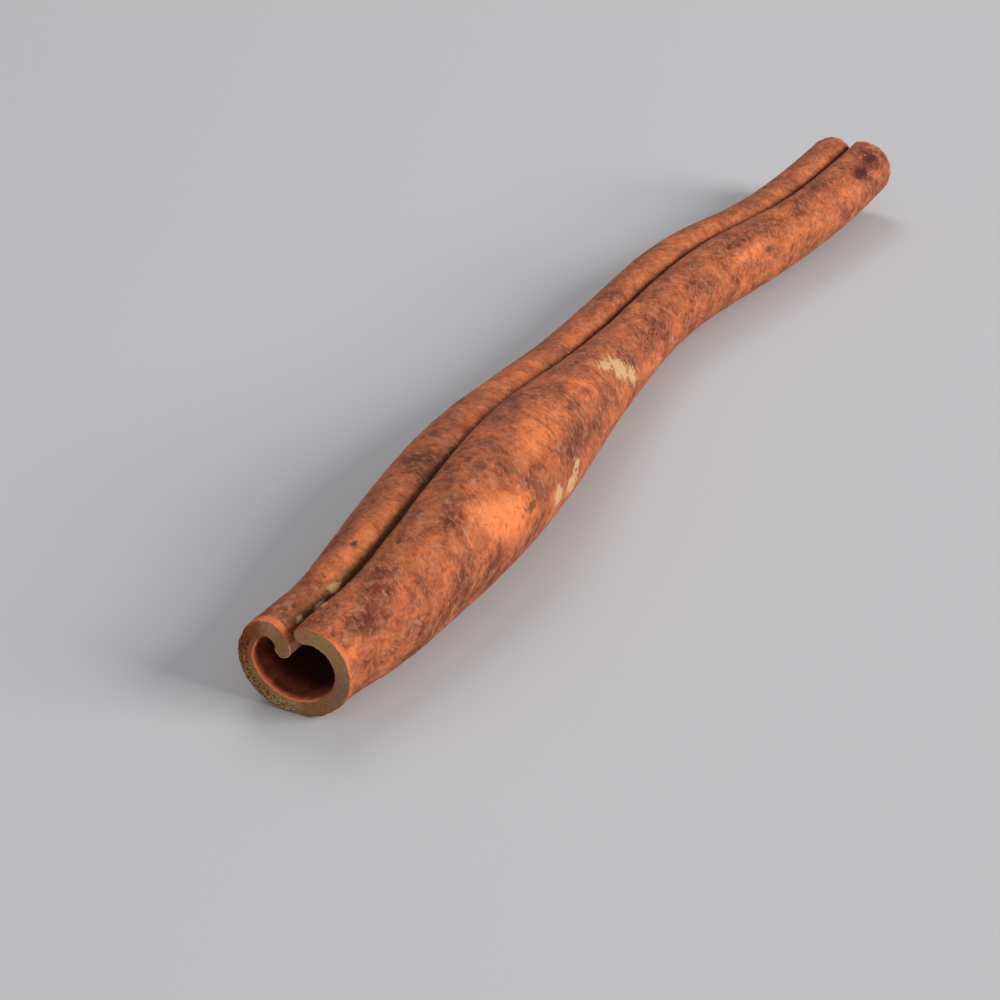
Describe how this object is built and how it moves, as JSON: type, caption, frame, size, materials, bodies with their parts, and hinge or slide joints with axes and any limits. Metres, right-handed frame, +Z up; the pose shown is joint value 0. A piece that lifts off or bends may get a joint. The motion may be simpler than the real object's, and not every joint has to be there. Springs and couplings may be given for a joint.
{
  "type": "cinnamon stick",
  "caption": "A single dried cinnamon stick: one sheet of bark rolled in from both edges into two curls that meet in a groove.",
  "frame": {"origin": "on the surface that the stick lies on, under the middle of its length and width", "axes": "+X along the stick from its wide open end to its thin far end, +Z up, with the groove between the curls on top"},
  "size_m": [0.1504, 0.0222, 0.0133],
  "materials": {
    "bark": "matte"
  },
  "bodies": {
    "root": {"cinnamon_stick": "bark"}
  },
  "joints": []
}
